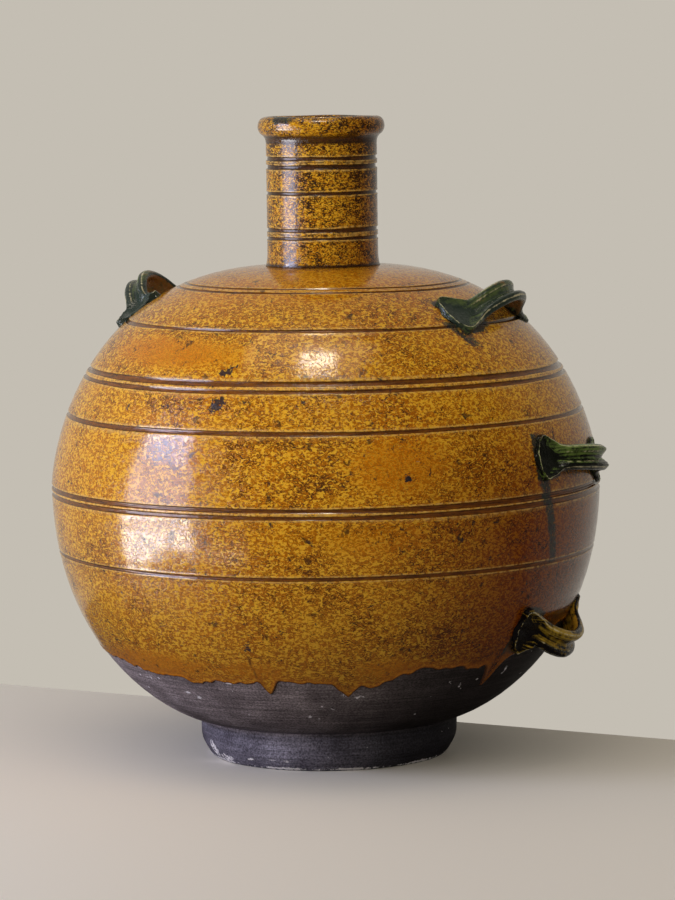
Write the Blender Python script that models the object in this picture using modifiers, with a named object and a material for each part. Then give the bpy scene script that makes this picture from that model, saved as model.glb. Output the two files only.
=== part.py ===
# Large round-bodied glazed clay flask, about 466 mm tall and 400 mm across, in metres, +Z up.
# The potter makes it in ten pieces, luted together with slip before the glaze firing: a foot ring,
# a lower bowl, an upper bowl, a neck with a rolled lip, and six pulled strap lugs in two columns.
# A carrying rope runs down through the three lugs of one side, under the jar and up the other side.
# The origin is on the standing surface, on the turning axis. Nothing moves.

import math

import bmesh
import bpy

# Overall form
BODY_RADIUS = 0.200
EQUATOR_HEIGHT = 0.201
SHOULDER_RISE = 0.1565
NECK_HEIGHT = 0.1085
WALL = 0.009
SLIP_GAP = 0.0003
SHOULDER_HEIGHT = EQUATOR_HEIGHT + SHOULDER_RISE
RIM_HEIGHT = SHOULDER_HEIGHT + NECK_HEIGHT

# Foot ring
FOOT_HEIGHT = 0.0283
FOOT_TOP_RADIUS = 0.094
FOOT_DRAW_IN = 0.0085
FOOT_TOP_WIDTH = 0.023
FOOT_CONTACT_WIDTH = 0.011
FOOT_WAIST_HEIGHT = 0.0175
FOOT_EDGE_ROUND = 0.0016
FOOT_TAPER_STEPS = 3

# Lower bowl: how far the outline runs level out of the foot, how full its belly is, and how much
# higher the inner edge of the bevelled rim stands than the outer one.
FLOOR_THICKNESS = 0.011
BASE_TURN_REACH = 0.0165
LOWER_FULLNESS_SHARE = 0.745
SEAM_RISE = 0.003

# Upper bowl: how far the shoulder runs out level from the neck, and how far it falls on the way.
SHOULDER_REACH_SHARE = 0.865
SHOULDER_FALL = 0.0040
UPPER_FULLNESS_SHARE = 0.12

# Neck and lip
NECK_RADIUS = 0.040
NECK_WALL = 0.007
NECK_FLARE = 0.0014
NECK_FLARE_HEIGHT = 0.006
LIP_OVERHANG = 0.0057
LIP_HEIGHT = 0.017
LIP_COVE_HEIGHT = 0.0048
LIP_COVE_SHARE = 0.4
LIP_MOUTH_FLARE = 0.002
# The rolled lip from the mouth over the crown to the cove: across as a share of the lip's width,
# up as a share of the roll's height.
LIP_SECTION_SHARES = ((0.0, 0.62), (0.16, 0.91), (0.50, 1.0), (0.74, 0.94), (0.92, 0.74),
                      (1.0, 0.46), (0.96, 0.20), (0.80, 0.0))
NECK_BORE_RADIUS = NECK_RADIUS - NECK_WALL

# Incised rings, cut while the pot turns
RING_WIDTH = 0.0030
RING_DEPTH = 0.0013
RING_PAIR_STEP = 0.0062
SEAM_PAIR_STEP = 0.0048
# Height of each ring above the equator, as a share of the rise to the shoulder. True means a pair.
SHOULDER_RING_SHARES = ((0.928, True), (0.760, False), (0.541, True), (0.334, False))
# Depth of the lowest ring under the equator, as a share of the fall to the foot.
LOWER_RING_SHARE = 0.273
# Height of each neck ring, as a share of the neck's height.
NECK_RING_SHARES = ((0.720, True), (0.494, False), (0.250, True))

# Strap lugs
LUG_LENGTH = 0.106
LUG_STRAP_WIDTH = 0.0175
LUG_STRAP_THICKNESS = 0.0075
LUG_LOOP_HEIGHT = 0.0145
LUG_LOOP_LENGTH = 0.062
LUG_PAD_WIDTH = 0.033
LUG_PAD_THICKNESS = 0.0052
# The strap begins to spread at this share of the half loop, is full at this share of its half
# length, and its last edge is thinned to this share.
LUG_FLARE_SHARE = 0.72
LUG_FLARE_END_SHARE = 0.92
LUG_END_SHARE = 0.6
# Heights of the three levels: above the equator as a share of the rise to the shoulder, and below
# it as a share of the fall to the foot.
LUG_UPPER_SHARE = 0.801
LUG_MIDDLE_SHARE = 0.137
LUG_LOWER_SHARE = 0.570
# How each lug was set by hand: turned about the jar from its column and tilted on the wall, in
# degrees, then its length, pad width, strap width and loop height as shares of the sizes above,
# and how far the loop droops down the wall as a share of its height.
LUG_SETTING_SHARES = {
    "lug_right_upper": (0.2, 0.0, 1.05, 0.94, 1.00, 1.07, 0.0),
    "lug_right_middle": (-0.6, 6.5, 1.00, 0.88, 0.98, 0.88, 0.10),
    "lug_right_lower": (0.2, 2.4, 1.03, 1.00, 1.14, 0.92, 0.46),
    "lug_left_upper": (3.6, 0.0, 0.98, 1.02, 1.00, 1.20, -0.20),
    "lug_left_middle": (-1.5, -2.0, 1.00, 0.92, 0.97, 0.88, 0.08),
    "lug_left_lower": (-1.0, 1.5, 1.02, 1.00, 1.08, 0.92, 0.36),
}
# Sections across a lug: places along half its length, as shares, from the crown to the pad's end.
LUG_STATION_SHARES = (0.0, 0.16, 0.32, 0.46, 0.58, 0.68, 0.78, 0.88, 0.96, 1.0)
# Section outlines: across as a share of the width, up as a share of the thickness. The strap has
# two rounded ribs with a hollow between, and the pad is dished with raised, pinched edges.
STRAP_SECTION_SHARES = ((-0.50, 0.50), (-0.38, 0.97), (-0.24, 1.00), (0.0, 0.56), (0.24, 1.00),
                        (0.38, 0.97), (0.50, 0.50), (0.38, 0.06), (0.18, 0.0), (0.0, 0.0),
                        (-0.18, 0.0), (-0.38, 0.06))
PAD_SECTION_SHARES = ((-0.50, 0.72), (-0.44, 1.00), (-0.30, 0.72), (0.0, 0.52), (0.30, 0.72),
                      (0.44, 1.00), (0.50, 0.72), (0.46, 0.0), (0.22, 0.0), (0.0, 0.0),
                      (-0.22, 0.0), (-0.46, 0.0))

# Facets: flats round the body and the neck, the most that two points of a bowl's outline lie
# apart, how near a plain point may come to a ring, and the points of a smooth curve.
BODY_STEPS = 56
NECK_STEPS = 40
POINT_SPACING = 0.0225
RING_CLEAR_SHARE = 1.5
CURVE_STEPS = 160
MERGE_DISTANCE = 0.00001
SHARP_EDGE_DEGREES = 50.0


def cubic(p0, p1, p2, p3, t):
    """Point at share t of a cubic curve through p0 and p3."""
    a = (1.0 - t) ** 3
    b = 3.0 * (1.0 - t) ** 2 * t
    c = 3.0 * (1.0 - t) * t ** 2
    d = t ** 3
    return tuple(a * w + b * x + c * y + d * z for w, x, y, z in zip(p0, p1, p2, p3))


class Outline:
    """A turned outline, read by the distance along it from its top end."""

    def __init__(self, points):
        self.points = points
        self.marks = [0.0]
        for (r0, z0), (r1, z1) in zip(points, points[1:]):
            self.marks.append(self.marks[-1] + math.hypot(r1 - r0, z1 - z0))
        self.length = self.marks[-1]

    def at(self, distance, inward=0.0):
        """Radius and height at a distance along the outline, moved square to it into the clay."""
        index = 0
        while index < len(self.marks) - 2 and self.marks[index + 1] < distance:
            index += 1
        span = self.marks[index + 1] - self.marks[index]
        share = (distance - self.marks[index]) / span
        (r0, z0), (r1, z1) = self.points[index], self.points[index + 1]
        out_r, out_z = (z0 - z1) / span, (r1 - r0) / span
        return (r0 + (r1 - r0) * share - out_r * inward, z0 + (z1 - z0) * share - out_z * inward)

    def distance_at_height(self, height):
        """Distance along the outline where it first comes down to a height."""
        for index, (_, z) in enumerate(self.points[1:]):
            if z <= height:
                z0 = self.points[index][1]
                share = (z0 - height) / (z0 - z)
                return self.marks[index] + share * (self.marks[index + 1] - self.marks[index])
        return self.length


def body_outline():
    """The outside of both bowls, from the neck's seat down over the equator to the foot."""
    seat = (NECK_RADIUS + NECK_FLARE, SHOULDER_HEIGHT)
    equator = (BODY_RADIUS, EQUATOR_HEIGHT)
    foot = (FOOT_TOP_RADIUS, FOOT_HEIGHT)
    fall = EQUATOR_HEIGHT - FOOT_HEIGHT
    shoulder_pull = (seat[0] + SHOULDER_REACH_SHARE * (BODY_RADIUS - seat[0]),
                     SHOULDER_HEIGHT - SHOULDER_FALL)
    upper_pull = (BODY_RADIUS, EQUATOR_HEIGHT + UPPER_FULLNESS_SHARE * SHOULDER_RISE)
    lower_pull = (BODY_RADIUS, EQUATOR_HEIGHT - LOWER_FULLNESS_SHARE * fall)
    base_pull = (FOOT_TOP_RADIUS + BASE_TURN_REACH, FOOT_HEIGHT)
    shares = [step / CURVE_STEPS for step in range(CURVE_STEPS + 1)]
    points = [cubic(seat, shoulder_pull, upper_pull, equator, t) for t in shares]
    points += [cubic(equator, lower_pull, base_pull, foot, t) for t in shares[1:]]
    return Outline(points)


def spaced(start, end):
    """Distances from start to end in even steps."""
    count = max(1, round(abs(end - start) / POINT_SPACING))
    return [start + (end - start) * step / count for step in range(count + 1)]


def ringed(line, start, end, rings):
    """Points down an outline from start to end, with a V-shaped ring cut at each distance.

    A ring on the first or last distance is cut in half there, and the next piece has the rest.
    """
    clear = RING_WIDTH * RING_CLEAR_SHARE
    stations = [(distance, 0.0) for distance in spaced(start, end)
                if all(abs(distance - ring) > clear for ring in rings)]
    stations += [(edge, 0.0) for edge in (start, end) if all(edge != ring for ring in rings)
                 and (edge, 0.0) not in stations]
    for ring in rings:
        stations += [(ring - RING_WIDTH / 2.0, 0.0), (ring, RING_DEPTH), (ring + RING_WIDTH / 2.0, 0.0)]
    return [line.at(distance, inward) for distance, inward in sorted(stations)
            if start <= distance <= end]


def ring_distances(line, base, height, ring_shares):
    """Distances along an outline of rings given as shares of a height above a base, some in pairs."""
    rings = []
    for share, paired in ring_shares:
        ring = line.distance_at_height(base + share * height)
        rings.append(ring)
        if paired:
            rings.append(ring + RING_PAIR_STEP)
    return rings


def clay(name, colour, roughness):
    """A plain fired-clay or glaze material."""
    material = bpy.data.materials.new(name)
    material.use_nodes = True
    shader = material.node_tree.nodes["Principled BSDF"]
    shader.inputs["Base Color"].default_value = (*colour, 1.0)
    shader.inputs["Roughness"].default_value = roughness
    shader.inputs["Metallic"].default_value = 0.0
    return material


def turned(name, profile, steps, closed, material, collection):
    """A piece thrown on the wheel: its profile, running down the outside, turned about the axis."""
    count = len(profile)
    edges = [(i, i + 1) for i in range(count - 1)]
    if closed:
        edges.append((count - 1, 0))
    mesh = bpy.data.meshes.new(name)
    mesh.from_pydata([(r, 0.0, z) for r, z in profile], edges, [])
    mesh.materials.append(material)
    obj = bpy.data.objects.new(name, mesh)
    collection.objects.link(obj)
    screw = obj.modifiers.new("turning", "SCREW")
    screw.angle = 2.0 * math.pi
    screw.steps = steps
    screw.render_steps = steps
    screw.use_merge_vertices = True
    screw.merge_threshold = MERGE_DISTANCE
    screw.use_smooth_shade = True
    return obj


def foot_ring(collection):
    """The turned foot: upright under the bowl, drawn in below its waist, with a flat contact land."""
    material = clay("bare_grey_clay", (0.050, 0.042, 0.040), 0.75)
    top = FOOT_HEIGHT - SLIP_GAP
    contact = FOOT_TOP_RADIUS - FOOT_DRAW_IN
    inner_top = FOOT_TOP_RADIUS - FOOT_TOP_WIDTH
    inner_contact = contact - FOOT_CONTACT_WIDTH
    waist = (FOOT_TOP_RADIUS, FOOT_WAIST_HEIGHT)
    pull = (FOOT_TOP_RADIUS - FOOT_EDGE_ROUND, FOOT_WAIST_HEIGHT / 2.0)
    toe = (contact + FOOT_EDGE_ROUND, FOOT_EDGE_ROUND)
    taper = [cubic(waist, pull, pull, toe, step / FOOT_TAPER_STEPS)
             for step in range(FOOT_TAPER_STEPS + 1)]
    profile = [(FOOT_TOP_RADIUS, top)] + taper + [
        (contact, 0.0),
        (inner_contact, 0.0),
        (inner_contact - FOOT_EDGE_ROUND, FOOT_EDGE_ROUND),
        (inner_top, FOOT_HEIGHT / 2.0),
        (inner_top, top),
    ]
    return turned("foot_ring", profile, BODY_STEPS, True, material, collection)


def lower_bowl(line, equator, collection):
    """The lower half of the body, thrown as an open bowl, with a bevelled rim for the upper half."""
    material = clay("amber_glaze_over_dark_clay", (0.36, 0.15, 0.015), 0.24)
    fall = EQUATOR_HEIGHT - FOOT_HEIGHT
    low_ring = line.distance_at_height(EQUATOR_HEIGHT - LOWER_RING_SHARE * fall)
    outside = ringed(line, equator, line.length, [equator, equator + SEAM_PAIR_STEP, low_ring])
    inside = [line.at(distance, WALL) for distance in spaced(line.length, equator)]
    inside[-1] = (BODY_RADIUS - WALL, EQUATOR_HEIGHT + SEAM_RISE)
    floor = (0.0, FOOT_HEIGHT + FLOOR_THICKNESS)
    profile = [floor] + inside + outside + [(0.0, FOOT_HEIGHT)]
    return turned("lower_bowl", profile, BODY_STEPS, False, material, collection)


def upper_bowl(line, equator, collection):
    """The upper half, thrown upside down as a bowl and opened at the top for the neck."""
    material = clay("amber_glaze", (0.47, 0.21, 0.015), 0.22)
    rings = ring_distances(line, EQUATOR_HEIGHT, SHOULDER_RISE, SHOULDER_RING_SHARES)
    outside = ringed(line, 0.0, equator, rings + [equator])
    seam_radius, seam_height = outside[-1]
    outside[-1] = (seam_radius, seam_height + SLIP_GAP)
    inside = [line.at(distance, WALL) for distance in spaced(equator, 0.0)]
    inside[0] = (BODY_RADIUS - WALL, EQUATOR_HEIGHT + SEAM_RISE + SLIP_GAP)
    inside[-1] = (NECK_BORE_RADIUS, SHOULDER_HEIGHT - WALL)
    profile = [(NECK_BORE_RADIUS, SHOULDER_HEIGHT)] + outside + inside
    return turned("upper_bowl", profile, BODY_STEPS, True, material, collection)


def neck(collection):
    """The cylindrical neck with its rings, and the lip rolled out over a cove."""
    material = clay("speckled_amber_glaze", (0.33, 0.14, 0.014), 0.22)
    base = SHOULDER_HEIGHT + SLIP_GAP
    cove_bottom = RIM_HEIGHT - LIP_HEIGHT
    cove_top = cove_bottom + LIP_COVE_HEIGHT
    column = Outline([(NECK_RADIUS, cove_bottom), (NECK_RADIUS, base + NECK_FLARE_HEIGHT)])
    rings = ring_distances(column, SHOULDER_HEIGHT, NECK_HEIGHT, NECK_RING_SHARES)
    mouth = NECK_BORE_RADIUS + LIP_MOUTH_FLARE
    lip_width = NECK_RADIUS + LIP_OVERHANG - mouth
    roll = RIM_HEIGHT - cove_top
    lip = [(mouth + across * lip_width, cove_top + up * roll) for across, up in LIP_SECTION_SHARES]
    cove = (NECK_RADIUS + NECK_FLARE, cove_bottom + LIP_COVE_HEIGHT * LIP_COVE_SHARE)
    profile = [(NECK_BORE_RADIUS, base), (NECK_BORE_RADIUS, cove_bottom)] + lip + [cove]
    profile += ringed(column, 0.0, column.length, rings)
    profile.append((NECK_RADIUS + NECK_FLARE, base))
    return turned("neck", profile, NECK_STEPS, True, material, collection)


def smooth_share(value):
    """Zero below nought, one above one, and an even blend between."""
    value = min(1.0, max(0.0, value))
    return value * value * (3.0 - 2.0 * value)


def lug_height(level):
    """Height of the middle of a lug, at its level in the column."""
    if level == "lower":
        return EQUATOR_HEIGHT - LUG_LOWER_SHARE * (EQUATOR_HEIGHT - FOOT_HEIGHT)
    return EQUATOR_HEIGHT + (LUG_UPPER_SHARE if level == "upper" else LUG_MIDDLE_SHARE) * SHOULDER_RISE


def lug_sections(name, line):
    """Rings of points across a lug, from one pad's end over the loop to the other pad's end.

    Each is laid out over the body: along the parallel, down the outline, and out from the clay.
    """
    _, tilt_degrees, length_share, pad_share, strap_share, rise_share, droop_share = (
        LUG_SETTING_SHARES[name])
    tilt = math.radians(tilt_degrees)
    centre = line.distance_at_height(lug_height(name.split("_")[2]))
    radius = line.at(centre)[0]
    half_length = LUG_LENGTH * length_share / 2.0
    half_loop = LUG_LOOP_LENGTH / 2.0
    loop_height = LUG_LOOP_HEIGHT * rise_share
    strap_width = LUG_STRAP_WIDTH * strap_share
    pad_width = LUG_PAD_WIDTH * pad_share
    flare_start = half_loop * LUG_FLARE_SHARE
    flare_run = half_length * LUG_FLARE_END_SHARE - flare_start
    shares = [-share for share in reversed(LUG_STATION_SHARES[1:])] + list(LUG_STATION_SHARES)
    sections = []
    for share in shares:
        along = share * half_length
        in_loop = min(1.0, abs(along) / half_loop)
        lift = loop_height * (1.0 - in_loop ** 2)
        slope = -2.0 * loop_height * along / half_loop ** 2 if in_loop < 1.0 else 0.0
        lean = math.atan(slope)
        pad = smooth_share((abs(along) - flare_start) / flare_run)
        width = strap_width + (pad_width - strap_width) * pad
        thickness = LUG_STRAP_THICKNESS + (LUG_PAD_THICKNESS - LUG_STRAP_THICKNESS) * pad
        if abs(share) == 1.0:
            width -= LUG_PAD_THICKNESS
            thickness *= LUG_END_SHARE
        section = []
        for (strap_x, strap_y), (pad_x, pad_y) in zip(STRAP_SECTION_SHARES, PAD_SECTION_SHARES):
            across = (strap_x + (pad_x - strap_x) * pad) * width + lift * droop_share
            up = (strap_y + (pad_y - strap_y) * pad) * thickness
            run = along - up * math.sin(lean)
            out = SLIP_GAP + lift + up * math.cos(lean)
            turn = (run * math.cos(tilt) - across * math.sin(tilt)) / radius
            down = run * math.sin(tilt) + across * math.cos(tilt)
            r, z = line.at(centre + down, -out)
            section.append((r * math.cos(turn), r * math.sin(turn), z))
        sections.append(section)
    return sections


def lug(name, line, material, collection):
    """A pulled strap bent into a loop, its two ends spread on the body and pinched at the edges."""
    bm = bmesh.new()
    loops = [[bm.verts.new(point) for point in section] for section in lug_sections(name, line)]
    for one, two in zip(loops, loops[1:]):
        for i in range(len(one)):
            j = (i + 1) % len(one)
            bm.faces.new((one[i], two[i], two[j], one[j]))
    bm.faces.new(loops[0])
    bm.faces.new(reversed(loops[-1]))
    bmesh.ops.triangulate(bm, faces=bm.faces, quad_method="FIXED", ngon_method="EAR_CLIP")
    bmesh.ops.recalc_face_normals(bm, faces=bm.faces)
    mesh = bpy.data.meshes.new(name)
    bm.to_mesh(mesh)
    bm.free()
    mesh.materials.append(material)
    mesh.shade_smooth()
    mesh.set_sharp_from_angle(angle=math.radians(SHARP_EDGE_DEGREES))
    obj = bpy.data.objects.new(name, mesh)
    collection.objects.link(obj)
    column = 0.0 if name.split("_")[1] == "right" else math.pi
    obj.rotation_euler.z = column + math.radians(LUG_SETTING_SHARES[name][0])
    return obj


def build():
    """Clears the scene and makes the ten pieces of the flask in one collection."""
    for obj in list(bpy.data.objects):
        bpy.data.objects.remove(obj, do_unlink=True)
    flask = bpy.data.collections.new("glazed_flask")
    bpy.context.scene.collection.children.link(flask)
    line = body_outline()
    equator = line.distance_at_height(EQUATOR_HEIGHT)
    foot_ring(flask)
    lower_bowl(line, equator, flask)
    upper_bowl(line, equator, flask)
    neck(flask)
    green_glaze = clay("green_black_glaze", (0.030, 0.045, 0.018), 0.25)
    for name in LUG_SETTING_SHARES:
        lug(name, line, green_glaze, flask)


build()
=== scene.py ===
import math

import bpy
import numpy as np
from mathutils import Matrix, Vector, noise


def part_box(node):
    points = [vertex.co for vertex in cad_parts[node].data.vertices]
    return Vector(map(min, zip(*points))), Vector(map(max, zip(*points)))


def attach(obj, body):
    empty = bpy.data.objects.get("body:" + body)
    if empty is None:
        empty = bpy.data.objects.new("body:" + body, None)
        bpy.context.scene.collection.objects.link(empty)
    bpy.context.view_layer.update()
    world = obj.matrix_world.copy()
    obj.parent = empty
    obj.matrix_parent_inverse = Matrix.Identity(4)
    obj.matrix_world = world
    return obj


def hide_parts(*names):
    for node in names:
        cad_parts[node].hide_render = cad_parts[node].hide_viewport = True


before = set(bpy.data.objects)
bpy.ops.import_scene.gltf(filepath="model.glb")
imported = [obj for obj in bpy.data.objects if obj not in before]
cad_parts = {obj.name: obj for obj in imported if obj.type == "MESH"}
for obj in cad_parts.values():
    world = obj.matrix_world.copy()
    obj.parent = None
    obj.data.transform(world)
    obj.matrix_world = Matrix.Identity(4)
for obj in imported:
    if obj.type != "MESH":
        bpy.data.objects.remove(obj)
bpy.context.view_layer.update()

# Foot ring
# A ring of the same grey clay, turned on the wheel and left bare, with a flat edge to stand on.
# Years of being set down have worn its lower edge pale and knocked small chips out of it.
MM = 0.001
FLATS = 600              # points in each row round the pot
FRONT = -65.0            # turn, from the right lugs' column, of the side that the photograph shows


def solid_box(name):
    """Lowest and highest corner of a solid in the frame, to a tenth of a millimetre."""
    return [[round(value / MM, 1) for value in corner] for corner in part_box(name)]


FOOT_TOP = solid_box("lower_bowl")[0][2]
FOOT_RADIUS = solid_box("foot_ring")[1][0]
LAND_OUTER = 85.5        # the flat edge that it stands on, between two radii
LAND_INNER = 74.5
FOOT_WAIST = 17.5        # height from which its side turns in
FOOT_RECESS = 71.0       # radius
OUTER_SIDE = 84.0        # all that lies further out than this radius is worn and chipped
CHIP_HEIGHT = 7.0
CHIP_DEPTH = 1.3
FOOT_SWAY = 0.25

ROUND = np.linspace(0.0, 2.0 * np.pi, FLATS, endpoint=False)


def linear(code):
    """Linear colour of an sRGB hex value."""
    parts = [int(code[i:i + 2], 16) / 255.0 for i in (1, 3, 5)]
    return [*(c / 12.92 if c <= 0.04045 else ((c + 0.055) / 1.055) ** 2.4 for c in parts), 1.0]


def feed(node, inputs):
    """Sets a node's inputs, each to a value, a colour's hex value or the socket that feeds it."""
    for socket, value in inputs.items():
        if isinstance(value, bpy.types.NodeSocket):
            node.id_data.links.new(value, node.inputs[socket])
        else:
            node.inputs[socket].default_value = linear(value) if isinstance(value, str) else value


def add(tree, kind, inputs=(), output=None, **settings):
    """Adds a shader node with its settings and links; returns the output named, or its first."""
    node = tree.nodes.new("ShaderNode" + kind)
    for setting, value in settings.items():
        setattr(node, setting, value)
    feed(node, dict(inputs))
    return node.outputs[output] if output else next((s for s in node.outputs if s.enabled), None)


def new_material(name, *marks):
    """A new material: its nodes, places in millimetres, and the marks that the mesh carries."""
    material = bpy.data.materials.new(name)
    material.use_nodes = True
    tree = material.node_tree
    place = add(tree, "TexCoord", output="Object")
    place = add(tree, "VectorMath", {0: place, 1: (1.0 / MM,) * 3}, operation="MULTIPLY")
    mark = {m: add(tree, "Attribute", output="Fac", attribute_name=m) for m in marks}
    return material, tree, place, mark


def from_front(turn, lowest=-180.0):
    """A turn in radians as degrees from the front, in the full circle above the lowest value."""
    return (np.degrees(turn) - FRONT - lowest) % 360.0 + lowest


def wander(turn, seed, size, lobes=9):
    """A slow uneven wander round the pot, of at most a given size, as hand work leaves."""
    draws = np.random.default_rng(seed)
    total = np.zeros_like(turn)
    for lobe in range(1, lobes + 1):
        total += draws.normal() / lobe ** 0.7 * np.cos(lobe * turn + draws.uniform(0.0, 2.0 * np.pi))
    return size * total / np.abs(total).max()


def eased(value):
    """Zero below nought, one above one, and an even blend between."""
    value = np.clip(value, 0.0, 1.0)
    return value * value * (3.0 - 2.0 * value)


def softened(points, times=2):
    """A closed profile with its corners cut round, as a wet sponge leaves them."""
    for _ in range(times):
        ahead = np.roll(points, -1, axis=0)
        points = np.stack([0.75 * points + 0.25 * ahead, 0.25 * points + 0.75 * ahead], 1).reshape(-1, 2)
    return points


def spun(profile, flats=FLATS):
    """Radius and height of rows of points right round the axis, one for each point of a profile."""
    profile = np.array(profile, dtype=float)
    return np.repeat(profile[:, :1], flats, 1), np.repeat(profile[:, 1:], flats, 1)


def skin(name, points, marks, ends, material, bare=None, bare_rows=None):
    """A piece from rows of points, each row right round it, with marks kept at the points.

    Ends is "joined" where the last row meets the first, "axis" where both end rows close on the
    axis, and "flat" where each closes with one face. The material named bare covers what lies
    between rows that are marked bare.
    """
    rows, around = points.shape[:2]
    row = np.arange(rows if ends == "joined" else rows - 1)[:, None]
    step = np.arange(around)[None, :]
    below, beside = (row + 1) % rows * around, (step + 1) % around
    quads = np.stack([row * around + step, below + step, below + beside, row * around + beside], -1)
    faces = quads.reshape(-1, 4).tolist()
    end = (rows - 1) * around
    middles = []
    if ends == "axis":
        middles = [(0.0, 0.0, points[k, 0, 2]) for k in (0, -1)]
        first, last = rows * around, rows * around + 1
        faces += [(first, j, (j + 1) % around) for j in range(around)]
        faces += [(last, end + (j + 1) % around, end + j) for j in range(around)]
    if ends == "flat":
        faces += [list(range(around)), list(range(end, end + around))[::-1]]
    mesh = bpy.data.meshes.new(name)
    mesh.from_pydata((np.array([*points.reshape(-1, 3), *middles]) * MM).tolist(), [], faces)
    for mark, values in marks.items():
        kept = np.zeros(len(mesh.vertices), dtype=np.float32)
        kept[:rows * around] = np.broadcast_to(values, (rows, around)).reshape(-1)
        mesh.attributes.new(mark, "FLOAT", "POINT").data.foreach_set("value", kept)
    mesh.shade_smooth()
    mesh.materials.append(material)
    if bare is not None:
        mesh.materials.append(bare)
        covers = np.ones(len(faces), dtype=np.int32)
        between = (bare_rows & np.roll(bare_rows, -1))[:len(row)]
        covers[:len(row) * around] = np.repeat(between, around)
        mesh.polygons.foreach_set("material_index", covers)
    piece = bpy.data.objects.new(name, mesh)
    bpy.context.scene.collection.objects.link(piece)
    return piece


def thrown(name, radius, height, marks, ends, material, bare=None, bare_rows=None):
    """A thrown piece, from the radius and height of rows of points that run down its outside."""
    turn = np.linspace(0.0, 2.0 * np.pi, radius.shape[1], endpoint=False)
    points = np.stack([radius * np.cos(turn), radius * np.sin(turn), height], -1)
    return skin(name, points, marks, ends, material, bare, bare_rows)


def right_side_shade_mark(turn):
    """How much painted shade darkens the clay: most to the right of the front, away from the window."""
    side = from_front(turn, -100.0)
    return eased((side + 22.0) / 62.0) * eased((200.0 - side) / 70.0)


# Iron-rich stoneware clay, turned and left unglazed: matt and dark, ruled with turning lines 1 to
# 3 mm apart, with white lime spots of about a millimetre where grit has burst the skin.
foot_clay, tree, place, mark = new_material("turned_bare_stoneware", "painted_shade", "worn")
upward = add(tree, "SeparateXYZ", {0: place}, output="Z")
level = add(tree, "VectorMath", {0: place, 1: (1.0, 1.0, 0.0)}, operation="MULTIPLY")
reach = add(tree, "VectorMath", {0: level}, operation="LENGTH")
sunk = add(tree, "Math", {0: reach, 1: 0.62, 2: upward}, operation="MULTIPLY_ADD")
squeezed = add(tree, "VectorMath", {0: level, 1: (0.03, 0.03, 0.0)}, operation="MULTIPLY")
ruled = add(tree, "VectorMath", {0: add(tree, "CombineXYZ", {2: sunk}), 1: squeezed})
lines = add(tree, "TexNoise", {"Vector": ruled, "Scale": 0.55, "Detail": 3.0, "Roughness": 0.65})
patches = add(tree, "TexNoise", {"Vector": place, "Scale": 1.0 / 28.0, "Detail": 4.0})
grit = add(tree, "TexNoise", {"Vector": place, "Scale": 1.0 / 1.3, "Detail": 2.0})
flake = add(tree, "TexNoise", {"Vector": place, "Scale": 1.0 / 3.2, "Detail": 4.0, "Roughness": 0.7})

# The foot is more ashen than the bowl above it. Lines and grit each shade the clay, and painted shade
# darkens its side away from the window, each by a factor at a low and at a high amount.
above = add(tree, "MapRange", {0: upward, 1: FOOT_TOP - 3.3, 2: FOOT_TOP + 3.7})
ashen = add(tree, "Mix", {0: above, 6: "#4b4651", 7: "#6a5f60"}, data_type="RGBA")
paler = add(tree, "Mix", {0: above, 6: "#86818e", 7: "#aa9c9d"}, data_type="RGBA")
mottled = add(tree, "MapRange", {0: patches, 1: 0.25, 2: 0.75})
clay = add(tree, "Mix", {0: mottled, 6: ashen, 7: paler}, data_type="RGBA")
for amount, low, high, at_low, at_high in (
        (lines, 0.3, 0.7, 0.58, 1.42), (grit, 0.3, 0.7, 0.45, 1.55), (mark["painted_shade"], 0.0, 1.0, 1.0, 0.16)):
    shade = add(tree, "MapRange", {0: amount, 1: low, 2: high, 3: at_low, 4: at_high})
    clay = add(tree, "VectorMath", {0: clay, 1: shade}, operation="MULTIPLY")

# Lime spots stand about 8 mm apart, and only half of the places that could have one do.
spots = add(tree, "TexVoronoi", {"Vector": place, "Scale": 1.0 / 8.0}, output="Distance")
chosen = add(tree, "SeparateColor", {0: spots.node.outputs["Color"]})
spot_size = add(tree, "MapRange", {0: chosen, 1: 0.50, 2: 1.0, 3: 0.0, 4: 0.15}, clamp=False)
ragged = add(tree, "Math", {0: grit, 1: 0.16, 2: spots}, operation="MULTIPLY_ADD")
inside = add(tree, "Math", {0: spot_size, 1: ragged}, operation="SUBTRACT")
lime = add(tree, "MapRange", {0: inside, 1: -0.075, 2: -0.055})
rubbed = add(tree, "Math", {0: flake, 1: 2.2, 2: mark["worn"]}, operation="MULTIPLY_ADD")
rubbed = add(tree, "MapRange", {0: rubbed, 1: 1.86, 2: 1.98})
pale = add(tree, "Math", {0: lime, 1: rubbed}, operation="MAXIMUM")
clay = add(tree, "Mix", {0: pale, 6: clay, 7: "#f6eff1"}, data_type="RGBA")
height = add(tree, "Math", {0: lines, 1: 0.6, 2: grit}, operation="MULTIPLY_ADD")
feed(tree.nodes["Principled BSDF"], {
    "Base Color": clay,
    "Roughness": add(tree, "MapRange", {0: patches, 1: 0.3, 2: 0.7, 3: 0.62, 4: 0.78}),
    "Normal": add(tree, "Bump", {"Height": height, "Distance": 0.25 * MM}),
    "Specular IOR Level": 0.18})

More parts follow.
